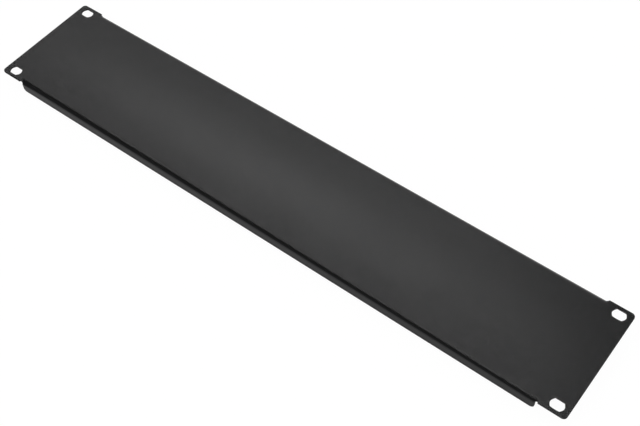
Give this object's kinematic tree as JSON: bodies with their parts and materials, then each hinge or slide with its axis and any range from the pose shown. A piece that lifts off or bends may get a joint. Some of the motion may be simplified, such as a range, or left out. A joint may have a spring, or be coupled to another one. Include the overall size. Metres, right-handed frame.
{
  "type": "rack blanking panel",
  "caption": "Flat blanking panel for a standard equipment rack: a folded black steel sheet with slotted ears and shallow flanges along both long edges.",
  "frame": {"origin": "centre of the four mounting slots, in the plane of the ears' back faces", "axes": "+X along the rack's width, +Y up the rack when fitted, +Z out of the front face; the panel is drawn lying face up on its flanges"},
  "size_m": [0.4826, 0.0882, 0.0098],
  "materials": {
    "powder_coat": "satin black powder coat with a very fine texture"
  },
  "bodies": {
    "root": {"panel": "powder_coat"}
  },
  "joints": []
}
